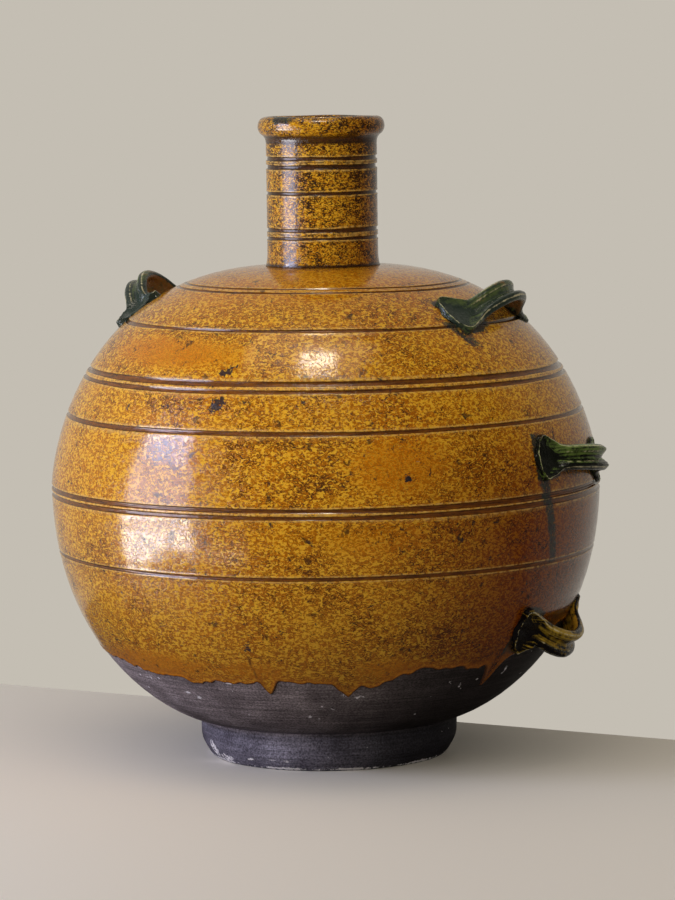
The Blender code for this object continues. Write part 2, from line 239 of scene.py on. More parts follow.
# Its profile, as radius and height: down the outer side, over the flat edge and up the recess.
foot_corners = np.array([
    (FOOT_RADIUS, FOOT_TOP), (FOOT_RADIUS, FOOT_TOP - 1.5), (FOOT_RADIUS, FOOT_WAIST + 3.0),
    (FOOT_RADIUS - 0.3, FOOT_WAIST - 4.0), (FOOT_RADIUS - 2.2, FOOT_WAIST / 2.0),
    (LAND_OUTER + 2.6, 2.6), (LAND_OUTER + 1.2, 0.7), (LAND_OUTER, 0.0),
    (LAND_INNER, 0.0), (LAND_INNER - 1.4, 1.0), (FOOT_RECESS + 0.6, FOOT_TOP / 2.0),
    (FOOT_RECESS, FOOT_TOP - 1.0), (FOOT_RECESS, FOOT_TOP)])
foot_profile = softened(foot_corners)
foot_profile = foot_profile[foot_profile[:, 1] < FOOT_TOP - 0.01]
foot_r, foot_z = spun([(FOOT_RADIUS, FOOT_TOP), *foot_profile, (FOOT_RECESS, FOOT_TOP)])
chips = np.clip(wander(ROUND, 5, 1.0, 40) - 0.45, 0.0, 1.0)
chips = chips * np.clip(1.0 - foot_z / CHIP_HEIGHT, 0.0, 1.0) * (foot_r > OUTER_SIDE)
foot_r = foot_r - CHIP_DEPTH * chips + FOOT_SWAY * wander(ROUND, 6, 1.0, 5)
foot_side = eased((wander(ROUND, 7, 1.0, 11) + 0.5) / 1.2)
foot_worn = 0.9 * np.clip(1.2 - np.abs(foot_z - 1.4) / 1.8, 0.0, 1.0) * (0.75 + 0.5 * foot_side)

# Scuffs on its side, as turn from the front, height, half width in degrees, half height and strength.
SCUFFS = ((-66.0, 8.5, 5.0, 7.5, 0.92), (-57.0, 4.5, 7.0, 3.6, 0.92), (-38.0, 7.0, 5.0, 1.0, 1.0),
          (-27.0, 7.4, 3.5, 1.0, 1.0), (-20.0, 7.2, 2.0, 1.2, 1.0), (95.0, 5.0, 9.0, 4.0, 1.0),
          (160.0, 7.0, 7.0, 4.0, 1.0), (232.0, 5.0, 8.0, 5.0, 1.0))
for side, level, wide, tall, strength in SCUFFS:
    apart = ((from_front(ROUND) - side + 180.0) % 360.0 - 180.0) / wide
    scuff = strength * eased(1.45 - np.hypot(apart[None, :], (foot_z - level) / tall))
    foot_worn = np.maximum(foot_worn, scuff)
# Painted shade: the foot's clay is darkened on the right, away from the window.
foot_marks = {"worn": foot_worn * (foot_r > OUTER_SIDE), "painted_shade": right_side_shade_mark(ROUND)}
foot = thrown("foot_ring_turned", foot_r, foot_z, foot_marks, "joined", foot_clay)
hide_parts("foot_ring")
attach(foot, "root")

# Where the lugs and rings go
# The potter rules rings while the pot turns and sets the lugs by eye in two columns, so both are
# marked out before the bowls. Copper green runs from each lug down over the amber glaze.
BODY_RADIUS = solid_box("lower_bowl")[1][0]
SHOULDER = solid_box("upper_bowl")[1][2]
EQUATOR = 201.0
NECK_SEAT = 41.4         # radius of the shoulder where the neck stands on it
WALL = 9.0
FALL = EQUATOR - FOOT_TOP
RISE = SHOULDER - EQUATOR


def pulled(start, one, two, end, count=900):
    """Points along a smooth pull from start to end."""
    t = np.linspace(0.0, 1.0, count)[:, None]
    start, one, two, end = (np.array(p, dtype=float) for p in (start, one, two, end))
    return ((1 - t) ** 3 * start + 3 * (1 - t) ** 2 * t * one + 3 * (1 - t) * t ** 2 * two
            + t ** 3 * end)


upper_line = pulled((NECK_SEAT, SHOULDER),
                    (NECK_SEAT + 0.865 * (BODY_RADIUS - NECK_SEAT), SHOULDER - 4.0),
                    (BODY_RADIUS, EQUATOR + 0.12 * RISE), (BODY_RADIUS, EQUATOR))
lower_line = pulled((BODY_RADIUS, EQUATOR), (BODY_RADIUS, EQUATOR - 0.745 * FALL),
                    (FOOT_RADIUS + 16.5, FOOT_TOP), (FOOT_RADIUS, FOOT_TOP))
line = np.vstack([upper_line, lower_line[1:]])
line_down = np.concatenate([[0.0], np.cumsum(np.hypot(*np.diff(line, axis=0).T))])
slant = np.gradient(line, line_down, axis=0)


def on_body(down, out=0.0):
    """Radius and height at a distance down the outline from the neck, moved out from the clay."""
    radius = np.interp(down, line_down, line[:, 0]) - out * np.interp(down, line_down, slant[:, 1])
    height = np.interp(down, line_down, line[:, 1]) + out * np.interp(down, line_down, slant[:, 0])
    return radius, height


def down_to(height):
    """Distance down the outline from the neck to a height."""
    return np.interp(-np.asarray(height, dtype=float), -line[:, 1], line_down)


MIDDLE = float(down_to(EQUATOR))
BOTTOM = float(line_down[-1])
RING_SWAY = 0.55

# Each ring: a height, how much further down it lies, half its width, its depth, and the seed of
# its wander. Two rings with one seed are ruled as a pair, in one go.
RULED = ((EQUATOR + 0.928 * RISE, 0.0, 1.3, 0.8, 11), (EQUATOR + 0.928 * RISE, 6.2, 1.5, 0.9, 11),
         (EQUATOR + 0.760 * RISE, 0.0, 1.6, 1.0, 12), (EQUATOR + 0.541 * RISE, 0.0, 2.3, 1.2, 13),
         (EQUATOR + 0.541 * RISE, 6.2, 1.7, 1.0, 13), (EQUATOR + 0.334 * RISE, 0.0, 1.7, 1.0, 14),
         (EQUATOR, 0.0, 1.8, 1.2, 15), (EQUATOR, 4.9, 1.7, 1.0, 15),
         (EQUATOR - 0.273 * FALL, 0.0, 1.4, 0.7, 16))
RINGS = [(float(down_to(level)) + below, *ring) for level, below, *ring in RULED]

# Each lug: height, turn from the right column, tilt, length, pad width, strap width, loop height
# and droop down the wall as a share of that height, as in the solid that it stands for.
LUGS = {
    "lug_right_upper": (326.36, 0.2, 0.0, 111.3, 31.0, 17.5, 15.5, 0.0),
    "lug_right_middle": (222.44, -0.6, 6.5, 106.0, 29.0, 17.2, 12.8, 0.10),
    "lug_right_lower": (102.56, 0.2, 2.4, 109.2, 33.0, 20.0, 13.3, 0.46),
    "lug_left_upper": (326.36, 183.6, 0.0, 103.9, 33.7, 17.5, 17.4, -0.20),
    "lug_left_middle": (222.44, 178.5, -2.0, 106.0, 30.4, 17.0, 12.8, 0.08),
    "lug_left_lower": (102.56, 179.0, 1.5, 108.1, 33.0, 18.9, 13.3, 0.36),
}
LOOP_HALF = 31.0         # how far from its middle a strap leaves the wall

# Copper runs: where each starts and ends, as turn from the right column and height, then its width
# and its strength.
COPPER_RUNS = (
    (-26.0, 322.0, -21.5, 306.0, 12.0, 0.75), (-14.8, 212.0, -10.6, 152.0, 9.5, 0.80),
    (27.0, 320.0, 29.0, 300.0, 7.0, 0.7), (14.0, 210.0, 12.5, 176.0, 6.0, 0.7),
    (158.0, 320.0, 156.0, 296.0, 8.0, 0.8), (207.0, 318.0, 205.5, 303.0, 7.0, 0.7),
    (163.0, 212.0, 161.0, 186.0, 6.0, 0.7), (193.5, 210.0, 195.0, 160.0, 5.5, 0.8),
)


def turn_apart(turn, other):
    """How far a turn in radians is from another in degrees, in radians, the short way round."""
    return (turn - math.radians(other) + np.pi) % (2.0 * np.pi) - np.pi


def along_run(turn, height, turn_0, top, turn_1, end):
    """How far down a run that slants from one place to another, and how far beside it, in radians."""
    share = (top - height) / (top - end)
    lean = np.clip(share, 0.0, 1.0) * math.radians(turn_1 - turn_0)
    return share, np.abs(turn_apart(turn, turn_0) - lean)


def copper_and_loop_shade_mark(down, turn):
    """How much copper green the glaze holds round each lug's pads and in runs, and the painted shade under
    each loop.
    """
    radius, height = on_body(down)
    mark = np.zeros(np.broadcast(down, turn).shape)
    for level, column, tilt, length, pad, strap, *_ in LUGS.values():
        along = turn_apart(turn, column) * radius
        across = down - down_to(level)
        lean = math.radians(tilt)
        run = along * math.cos(lean) + across * math.sin(lean)
        side = across * math.cos(lean) - along * math.sin(lean)
        width = strap + (pad - strap) * eased((np.abs(run) - 22.0) / 26.0)
        outside = np.maximum(np.abs(run) - length / 2.0, np.abs(side) - width / 2.0)
        # Under the loop the mark stands at half strength: painted shade under the strap, partly copper.
        strength = np.where(np.abs(run) < LOOP_HALF - 4.0, 0.5, 1.0)
        mark = np.maximum(mark, strength * eased(1.0 - (outside - 0.5) / 4.5))
    for *ends, width, strength in COPPER_RUNS:
        share, beside = along_run(turn, height, *ends)
        half = width / 2.0 * (1.15 - 0.35 * np.clip(share, 0.0, 1.0))
        fade = eased((share + 0.15) / 0.15) * eased((1.12 - share) / 0.25)
        mark = np.maximum(mark, strength * fade * eased(1.6 - beside * radius / half))
    return mark


# Smoke-black blots, as turn from the front, height, half width, half height and strength.
BLOTS = ((-24.2, 293.0, 5.2, 3.2, 1.0), (-22.6, 295.0, 4.0, 2.4, 0.8), (-24.2, 273.5, 5.0, 4.6, 1.0),
         (-24.8, 269.5, 6.4, 3.2, 0.9), (16.5, 222.0, 3.4, 3.0, 0.7),
         (-18.4, 103.0, 3.0, 3.0, 0.7), (150.0, 262.0, 6.0, 5.0, 0.9), (212.0, 180.0, 5.0, 6.0, 0.9),
         (98.0, 300.0, 5.0, 3.5, 0.8), (247.0, 236.0, 4.0, 4.0, 0.8))
# Crowds of dark flecks, given the same way.
CROWDS = ((-36.0, 240.0, 22.0, 12.0, 0.9), (-34.0, 178.0, 26.0, 14.0, 0.5),
          (-36.8, 272.5, 34.0, 7.0, 0.8), (-14.3, 270.4, 30.0, 8.0, 0.5), (-7.3, 248.1, 46.0, 5.0, 0.8),
          (-0.8, 218.7, 18.0, 6.0, 0.8), (16.1, 222.4, 6.0, 6.0, 1.0), (19.4, 107.4, 20.0, 12.0, 0.6),
          (8.0, 190.0, 28.0, 12.0, 0.2), (31.0, 186.0, 30.0, 12.0, 0.8), (2.0, 268.0, 22.0, 9.0, 0.3),
          (-14.0, 303.0, 12.0, 8.0, 0.5), (-40.0, 313.0, 14.0, 9.0, 0.7), (26.0, 262.0, 26.0, 8.0, 0.4),
          (140.0, 200.0, 40.0, 26.0, 0.7), (200.0, 240.0, 44.0, 20.0, 0.6),
          (260.0, 180.0, 36.0, 24.0, 0.6))
# Clearings, where the glaze lies thick and plain orange, given the same way.
CLEARINGS = ((-43.0, 305.0, 64.0, 13.0, 1.0), (-56.0, 230.0, 30.0, 24.0, 0.25),
             (15.0, 231.0, 34.0, 20.0, 0.8), (10.0, 181.0, 40.0, 13.0, 0.5),
             (-48.0, 85.0, 60.0, 11.0, 1.0), (-19.0, 86.0, 26.0, 8.0, 0.7), (14.0, 86.0, 26.0, 9.0, 0.9),
             (120.0, 280.0, 60.0, 20.0, 0.8), (210.0, 120.0, 50.0, 26.0, 0.7),
             (265.0, 250.0, 40.0, 26.0, 0.6))


def blot_mark(down, turn, blots):
    """How deep a point is in the blots, each round with a soft edge."""
    radius, height = on_body(down)
    mark = np.zeros(np.broadcast(down, turn).shape)
    for side, level, wide, tall, strength in blots:
        across = turn_apart(turn, FRONT + side) * radius / wide
        above = (down - down_to(level)) / tall
        mark = np.maximum(mark, strength * eased(1.5 - np.hypot(across, above)))
    return mark


# Lower bowl
# The lower half of the body with its floor, thrown open and bevelled at the rim. The glaze covers
# it to a hand's breadth above the table and ends in a ragged, thickened edge with a few runs.
FLOOR = 11.0
AXIS = 1.0               # radius of the last row before the axis
RIM_BEVEL = 3.0          # how far the rim reaches up inside the upper bowl
COAT = 0.55              # the glaze's thickness
SUNK = 0.35              # how far the clay lies inside the solid's surface, to leave the glaze room
CRACK_DARKNESS = 0.4     # as a share of a ring's

# The glaze edge as turn from the front and height, and its runs as turn, half width and drop.
GLAZE_EDGE = ((-64, 80), (-52, 75.5), (-42, 74.5), (-34, 72.5), (-27, 74.5), (-18, 75.5), (-9, 76.5),
              (-3, 75.5), (6, 74.0), (13, 74.0), (18, 79), (23, 84), (30, 84.5), (36, 81), (43, 80),
              (50, 85), (58, 96), (70, 104), (84, 90), (100, 79), (118, 84), (136, 75), (156, 80),
              (178, 72), (196, 79), (216, 74), (236, 82), (256, 76), (276, 83))
GLAZE_RUNS = ((-15.2, 2.7, 12.5), (4.9, 4.2, 9.5), (45.5, 3.6, 21.0), (-35.5, 4.0, 2.0),
              (10.5, 2.5, 3.0), (92.0, 3.2, 13.0), (128.0, 2.8, 9.0), (171.0, 4.0, 15.0),
              (208.0, 3.0, 11.0), (246.0, 3.4, 14.0), (268.0, 2.4, 7.0))
# Dark hairlines where a run has parted: turn from the right column and height at each end, and
# half width.
CRACKS = ((-83.6, 96.0, -82.4, 76.0, 0.8), (112.0, 104.0, 113.0, 82.0, 0.9),
          (170.0, 98.0, 171.5, 80.0, 0.9))
# White scuffs on the bare clay and along the glaze edge, given as the blots are.
CHIPPED = ((-55.0, 70.5, 5.0, 1.2, 1.0), (-50.0, 71.5, 3.0, 1.0, 1.0), (-46.0, 68.5, 4.0, 1.2, 1.0),
           (-42.0, 62.0, 3.0, 2.0, 1.1), (-39.0, 59.0, 3.5, 2.2, 1.1), (-25.4, 74.0, 6.0, 1.2, 1.0),
           (-6.0, 48.0, 3.0, 2.2, 1.1), (-3.5, 46.0, 4.0, 1.8, 1.1), (0.8, 54.0, 2.0, 1.6, 1.1),
           (4.0, 66.0, 4.5, 1.8, 1.1), (8.0, 64.0, 4.0, 1.6, 1.1), (33.0, 71.0, 3.0, 3.0, 0.9),
           (37.0, 66.0, 2.0, 5.0, 0.9), (52.0, 74.0, 2.0, 6.0, 0.9), (108.0, 60.0, 6.0, 2.0, 1.0),
           (151.0, 66.0, 5.0, 2.6, 1.1), (190.0, 58.0, 4.0, 2.0, 1.0), (240.0, 64.0, 6.0, 2.0, 1.1))


def evened(values, times, step=1):
    """Values round the pot, each blended with those a number of steps to its left and right."""
    for _ in range(times):
        values = (np.roll(values, step) + 2.0 * values + np.roll(values, -step)) / 4.0
    return values


def glaze_edge_height(turn):
    """Height of the glaze's lower edge, at a turn from the column of right lugs, in radians."""
    side = from_front(turn, -65.0)
    places = np.array(GLAZE_EDGE, dtype=float)
    ends = np.vstack([places[-2:] - (360.0, 0.0), places, places[:2] + (360.0, 0.0)])
    level = evened(np.interp(side, ends[:, 0], ends[:, 1]), 3, 3)
    for middle, half, drop in GLAZE_RUNS:
        apart = np.abs((side - middle + 180.0) % 360.0 - 180.0) / half
        level = level - drop * np.clip(1.0 - apart, 0.0, 1.0) ** 1.25
    ragged = np.random.default_rng(22).normal(0.0, 1.5, len(turn))
    return evened(level, 1) + wander(turn, 21, 1.4, 60) + evened(ragged, 2)


edge_down = down_to(glaze_edge_height(ROUND))
EDGE_MIDDLE = float(edge_down.mean())
edge_slope = np.gradient(edge_down) / (on_body(edge_down)[0] * (2.0 * np.pi / FLATS))
edge_lean = 1.0 / np.sqrt(1.0 + edge_slope ** 2)


def close_rows(start, end, cuts, spacing, band=()):
    """Distances from start to end, closer together at each cut and over a band."""
    near = np.concatenate([cut + np.linspace(-2.8, 2.8, 13) for cut in cuts] + [np.array(band)])
    plain = np.linspace(start, end, int((end - start) / spacing) + 1)
    plain = plain[np.abs(plain[:, None] - near).min(1) > 0.6]
    rows = np.unique(np.concatenate([plain, near[(near > start) & (near < end)], [start, end]]))
    keep = np.concatenate([[True], np.diff(rows) > 0.2])
    keep[-1] = True
    return rows[keep]


def ruled_rows(rows, turn):
    """Rows bent to follow the wander of the rings and the glaze edge, and the ring marks on them.

    Returns the distance down, how far out the clay stands, how deep in a ring and how far up on a
    ring's raised lip each point is, and how near a patchy edge of one.
    """
    down = np.repeat(rows[:, None], len(turn), 1)
    seeds = [ring[-1] for ring in RINGS]
    for start, _, _, seed in RINGS:
        pull = eased((9.0 - np.abs(rows - start)) / 6.0)[:, None] / seeds.count(seed)
        down = down + pull * wander(turn, seed, RING_SWAY, 7)
    pull = eased((50.0 - np.abs(rows - EDGE_MIDDLE)) / 44.0)[:, None]
    down = down + pull * (edge_down - EDGE_MIDDLE)
    ripple = 0.045 * np.sin(down / 1.55 + 2.0 * wander(turn, 31, 1.0, 3))
    out = ripple + wander(turn, 32, 0.3, 4)
    groove, lip, near = (np.zeros_like(down) for _ in range(3))
    for start, half, depth, seed in RINGS:
        wide = half * (1.0 + wander(turn, seed + 20, 0.22, 14))
        deep = depth * (1.0 + wander(turn, seed + 40, 0.25, 10))
        away = np.abs(down - start - wander(turn, seed, RING_SWAY, 7))
        cut = np.clip(1.0 - away / wide, 0.0, 1.0)
        burr = np.exp(-((away - wide - 0.55) / 0.5) ** 2)
        out = out - deep * eased(cut * 2.4) + 0.14 * burr
        groove = np.maximum(groove, eased(cut * 3.2))
        lip = np.maximum(lip, burr)
        patchy = np.clip(0.25 + wander(turn, seed + 60, 0.6, 24), 0.0, 1.0)
        near = np.maximum(near, patchy * np.exp(-((np.abs(down - start) - half - 1.5) / 2.6) ** 2))
    _, height = on_body(down)
    for *ends, wide in CRACKS:
        share, beside = along_run(turn, height, *ends)
        crack = eased(1.5 - beside * BODY_RADIUS / wide) * (share > 0.0) * (share < 1.0)
        groove = np.maximum(groove, CRACK_DARKNESS * crack)
    return down, out, groove, lip, near


def glaze_burn_and_shade(turn, height):
    """How much the glaze is darkened brown, partly fired browner and partly painted shade: most on the side
    low down to the right.
    """
    side = from_front(turn, -100.0)
    right = eased((side - 4.0) / 44.0) * eased((175.0 - side) / 60.0) * eased((286.0 - height) / 120.0)
    return np.maximum(right, 0.14 * eased((150.0 - height) / 70.0))


def glazed_marks(down, turn, groove, lip, near, edge):
    """All the marks that the glaze needs, by name."""
    _, height = on_body(down)
    flecking = 0.62 - 0.28 * eased((height - 326.0) / 18.0) - 0.55 * blot_mark(down, turn, CLEARINGS)
    return {
        "edge_mm": edge, "groove": groove, "lip": lip, "copper_and_shade": copper_and_loop_shade_mark(down, turn),
        "blot": blot_mark(down, turn, BLOTS), "crowd": np.maximum(near, blot_mark(down, turn, CROWDS)),
        "burn_and_shade": glaze_burn_and_shade(turn, height), "fleck": flecking,
    }


def inner_marks(marks, rows, before, after):
    """The marks of the rows outside, with rows of bare clay added before and after them."""
    return {name: np.pad(np.broadcast_to(values, (rows, FLATS)), ((before, after), (0, 0)),
                         constant_values=-20.0 if name == "edge_mm" else 0.0)
            for name, values in marks.items()}


def amber_glaze(name, fleck_mm, flecking, dark, brown, middle, light, groove_colour):
    """Amber lead glaze, dipped over dark clay: glossy, and mottled where the clay grins through.

    The eye sees honey and ochre with brown-black flecks of 1 to 3 mm, dark pooled glaze in the
    rings with thin pale lines beside them, partly a painted highlight, smoke-black blots, and copper
    green near the lugs, with painted shade under their loops.
    """
    material, tree, place, mark = new_material(
        name, "edge_mm", "groove", "lip", "copper_and_shade", "blot", "crowd", "burn_and_shade", "fleck")
    # The mottling lies along the turning, half as long again as it is high, and streaks in the
    # rings eight times as long. Each pattern has a grain in millimetres, detail, roughness and twist.
    laid, stretched = (add(tree, "VectorMath", {0: place, 1: squeeze}, operation="MULTIPLY")
                       for squeeze in ((0.86, 0.86, 1.36), (0.12, 0.12, 1.0)))
    pattern = {}
    for part, across, size, detail, rough, twist in (
            ("grain", laid, fleck_mm, 0.0, 0.5, 0.5), ("clump", laid, 7.0, 3.0, 0.75, 0.0),
            ("patch", place, 40.0, 2.0, 0.5, 0.0), ("sand", laid, 0.95, 1.0, 0.6, 0.3),
            ("crumb", laid, 2.1, 2.0, 0.65, 0.5), ("spots", place, fleck_mm * 1.9, 3.0, 0.6, 0.8),
            ("tint", place, 3.4, 2.0, 0.5, 0.0), ("hue", place, 60.0, 3.0, 0.6, 0.0),
            ("streak", stretched, 1.4, 2.0, 0.6, 0.0)):
        pattern[part] = add(tree, "TexNoise", {"Vector": across, "Scale": 1.0 / size, "Detail": detail,
                                               "Roughness": rough, "Distortion": twist})

    # Flecks are crooked threads of thin glaze, along the grain's middle value. Ragged dark spots 3
    # to 6 mm across stand about 12 mm apart, few on their own and many in a crowd.
    thread = add(tree, "Math", {0: pattern["grain"], 1: 0.5}, operation="SUBTRACT")
    thread = add(tree, "Math", {0: thread}, operation="ABSOLUTE")
    spot = add(tree, "TexVoronoi", {"Vector": place, "Scale": 1.0 / 12.0}, output="Distance")
    spot_draw = add(tree, "SeparateColor", {0: spot.node.outputs["Color"]})
    spot_size = add(tree, "MapRange", {0: spot_draw, 1: 0.45, 2: 1.0, 3: 0.0, 4: 0.30})
    spot_in = add(tree, "Math", {0: spot_size, 1: spot}, operation="SUBTRACT")
    spot_in = add(tree, "MapRange", {0: spot_in, 1: -0.10, 2: 0.14, 3: 0.0, 4: 0.20})

    # What each kind of mark comes from: a start, and patterns that each add their weight.
    total = {}
    for kind, amount, parts in (
            ("fleck", flecking, (
                (pattern["clump"], 0.84), (pattern["patch"], 0.50), (mark["crowd"], 0.12),
                (mark["fleck"], 0.24), (thread, -1.5), (pattern["sand"], 0.85))),
            ("spot", pattern["spots"], ((mark["crowd"], 0.09), (pattern["clump"], 0.22), (spot_in, 1.0))),
            ("hue", pattern["hue"], ((mark["fleck"], -0.35),)),
            ("blot", mark["blot"], ((pattern["spots"], 2.6), (thread, -1.6))),
            ("copper_and_shade", mark["copper_and_shade"], ((pattern["clump"], 0.9), (thread, -0.9)))):
        for part, weight in parts:
            amount = add(tree, "Math", {0: part, 1: weight, 2: amount}, operation="MULTIPLY_ADD")
        total[kind] = amount

    # How much of each colour shows, at a low and at a high amount of its pattern or mark. Crumbs of
    # straw and brown, where the glaze has crawled thin or pooled, spare the clearings.
    share = {"burn_and_shade": 1.0}
    for kind, amount, low, high, at_low, at_high in (
            ("haze", pattern["sand"], 0.38, 0.60, 0.0, 0.80),
            ("fleck", total["fleck"], 0.62, 0.80, 0.0, 0.80),
            ("dark fleck", total["fleck"], 0.73, 0.93, 0.0, 0.92),
            ("spot", total["spot"], 0.72, 0.86, 0.0, 1.0),
            ("calm", mark["fleck"], 0.05, 0.55, 0.15, 1.0),
            ("hue", total["hue"], 0.17, 0.42, 0.0, 1.0),
            ("straw", pattern["crumb"], 0.45, 0.58, 0.0, 0.84),
            ("brown", pattern["crumb"], 0.50, 0.37, 0.0, 0.80),
            ("broken", pattern["tint"], 0.38, 0.60, 0.15, 0.80),
            ("green", pattern["tint"], 0.35, 0.70, 0.0, 1.0),
            ("streak", pattern["streak"], 0.36, 0.64, 0.0, 1.0),
            ("shore", mark["groove"], 0.55, 0.95, 0.75, 0.0),
            ("pool", mark["groove"], 0.05, 0.45, 0.0, 0.94),
            ("blot", total["blot"], 1.58, 1.84, 0.0, 0.93),
            ("copper_and_shade", total["copper_and_shade"], 0.62, 1.12, 0.0, 0.92),
            ("plain", mark["edge_mm"], 9.0, 2.0, 0.0, 0.62),
            ("brim", mark["edge_mm"], 2.4, 0.8, 0.0, 0.90)):
        soft = kind in ("haze", "fleck", "dark fleck", "spot")
        share[kind] = add(tree, "MapRange", {0: amount, 1: low, 2: high, 3: at_low, 4: at_high},
                          interpolation_type="SMOOTHSTEP" if soft else "LINEAR")
    rough_spot = share["spot"]
    # The rings' raised lips are painted pale, partly thin glaze and partly a painted highlight.
    for kind, amount, limit in (("spot", share["spot"], 0.82), ("straw", share["straw"], share["calm"]),
                                ("brown", share["brown"], share["calm"]),
                                ("lip", mark["lip"], share["broken"])):
        share[kind] = add(tree, "Math", {0: amount, 1: limit}, operation="MULTIPLY")

    # The glaze's own colour wanders between ochre and orange over 20 to 70 mm, and low down on the
    # right it is darkened brown, partly fired browner and partly painted shade. Beside a ring it is
    # pale, partly thin glaze and partly a painted highlight, and pooled in it dark. Towards its lower
    # edge it runs plain and orange, and ends in a dark line.
    burnt_and_shaded, pool, verdigris = (
        add(tree, "Mix", {0: amount, 6: none, 7: full}, data_type="RGBA") for amount, none, full in (
            (mark["burn_and_shade"], "#ffffff", "#a47655"), (share["streak"], groove_colour, "#4c2810"),
            (share["green"], "#1b1e2c", "#2a3a2c")))
    pool = add(tree, "Mix", {0: share["shore"], 6: pool, 7: "#2a1508"}, data_type="RGBA")
    glaze = light
    for kind, colour in (
            ("hue", middle), ("haze", "#a66a08"), ("straw", "#eab42e"), ("brown", "#96540a"),
            ("fleck", brown), ("dark fleck", dark), ("spot", "#462a06"), ("burn_and_shade", burnt_and_shaded),
            ("lip", "#e0b560"), ("pool", pool), ("blot", "#23232c"), ("copper_and_shade", verdigris),
            ("plain", "#b4670e"), ("brim", "#45200f")):
        glaze = add(tree, "Mix", {0: share[kind], 6: glaze, 7: colour}, data_type="RGBA",
                    blend_type="MULTIPLY" if kind == "burn_and_shade" else "MIX")

    # Flecks are rougher than the glaze round them, and stand a little lower.
    worst = add(tree, "Math", {0: share["dark fleck"], 1: rough_spot}, operation="MAXIMUM")
    for part, weight in ((share["fleck"], 0.5), (share["haze"], 0.12)):
        worst = add(tree, "Math", {0: part, 1: weight, 2: worst}, operation="MULTIPLY_ADD")
    swell = pattern["tint"]
    for part, weight in ((share["fleck"], -1.3), (pattern["sand"], -0.8)):
        swell = add(tree, "Math", {0: part, 1: weight, 2: swell}, operation="MULTIPLY_ADD")
    feed(tree.nodes["Principled BSDF"], {
        "Base Color": glaze,
        "Roughness": add(tree, "MapRange", {0: worst, 1: 0.0, 2: 1.6, 3: 0.06, 4: 0.24}),
        "Normal": add(tree, "Bump", {"Height": swell, "Distance": 0.05 * MM}),
        "IOR": 1.7})
    return material


body_glaze = amber_glaze("dipped_amber_lead_glaze", 2.1, -0.485, "#562d02", "#8c4e04", "#d47c04",
                         "#e0961a", "#7c4412")

lower_rows = close_rows(MIDDLE, BOTTOM, [ring[0] for ring in RINGS if ring[0] >= MIDDLE], 3.3,
                        EDGE_MIDDLE + np.linspace(-7.0, 7.0, 25))
down, out, groove, lip, near = ruled_rows(lower_rows, ROUND)
down[0], down[-1] = MIDDLE, BOTTOM
edge = (edge_down - down) * edge_lean
coat = COAT * eased(edge / 1.1) + 0.35 * np.exp(-((edge - 1.7) / 1.3) ** 2) * (edge > 0.0)
radius, height = on_body(down, out * eased((BOTTOM - down) / 6.0) - SUNK + coat)
radius[-1], height[-1] = FOOT_RADIUS, FOOT_TOP
inner_down = np.linspace(BOTTOM, MIDDLE, 9)[:-1]
before = [(AXIS, FOOT_TOP + FLOOR), (0.15 * BODY_RADIUS, FOOT_TOP + FLOOR),
          *zip(*on_body(inner_down, -WALL)), (BODY_RADIUS - WALL, EQUATOR + RIM_BEVEL)]
after = [(FOOT_RECESS - 1.0, FOOT_TOP), (AXIS, FOOT_TOP)]
lower_r, lower_z = (np.vstack(rows) for rows in zip(spun(before), (radius, height), spun(after)))
marks = glazed_marks(down, ROUND, groove, lip, near, edge)
marks["worn"] = blot_mark(down, ROUND, CHIPPED)
# Painted shade: the bare clay is darkened on the right, away from the window.
marks["painted_shade"] = right_side_shade_mark(ROUND)
marks = inner_marks(marks, len(down), len(before), len(after))
bare_rows = np.pad(lower_rows > EDGE_MIDDLE - 0.01, (len(before), len(after)), constant_values=True)
lower = thrown("lower_bowl_glazed", lower_r, lower_z, marks, "axis", body_glaze, foot_clay, bare_rows)
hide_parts("lower_bowl")
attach(lower, "root")

# Upper bowl
# The upper half, thrown upside down and opened at the top for the neck. It meets the lower bowl in
# the deep ring at the widest place, where slip and then glaze have closed the joint.
NECK_BORE = 33.0         # radius
DEEP_IN = 30.0           # stands for any distance well inside the glaze's edge

upper_rows = close_rows(0.0, MIDDLE, [ring[0] for ring in RINGS if ring[0] <= MIDDLE], 3.4)
down, out, groove, lip, near = ruled_rows(upper_rows, ROUND)
down[0], down[-1] = 0.0, MIDDLE
radius, height = on_body(down, out * eased(down / 8.0) + COAT - SUNK)
inner_down = np.linspace(MIDDLE, 0.0, 10)[1:-1]
inner = [(BODY_RADIUS - WALL, EQUATOR + RIM_BEVEL), *zip(*on_body(inner_down, -WALL)),
         (NECK_BORE, SHOULDER - WALL), (NECK_BORE, SHOULDER)]
upper_r, upper_z = (np.vstack(rows) for rows in zip((radius, height), spun(inner)))
marks = glazed_marks(down, ROUND, groove, lip, near, DEEP_IN)
marks = inner_marks(marks, len(down), 0, len(inner))
upper = thrown("upper_bowl_glazed", upper_r, upper_z, marks, "joined", body_glaze)
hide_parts("upper_bowl")
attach(upper, "root")

# Neck
# A straight thrown tube with a rolled lip, luted to the shoulder. Its glaze is more heavily flecked
# than the body's, the rings are nearly black, and a splash of copper green lies on the lip.
NECK_FLATS = 360
NECK_RADIUS = 40.0
RIM = solid_box("neck")[1][2]
LIP_FOOT = RIM - 18.0    # height where the tube ends and the lip begins
ROLL_INNER = 36.0        # radius of the lip's inner shoulder
neck_round = np.linspace(0.0, 2.0 * np.pi, NECK_FLATS, endpoint=False)

# Rings as distance below the rim, half width and depth.
NECK_RINGS = ((29.9, 1.5, 1.0), (36.0, 1.7, 1.1), (54.9, 1.2, 0.9), (81.4, 1.5, 0.9), (87.6, 1.1, 0.8))
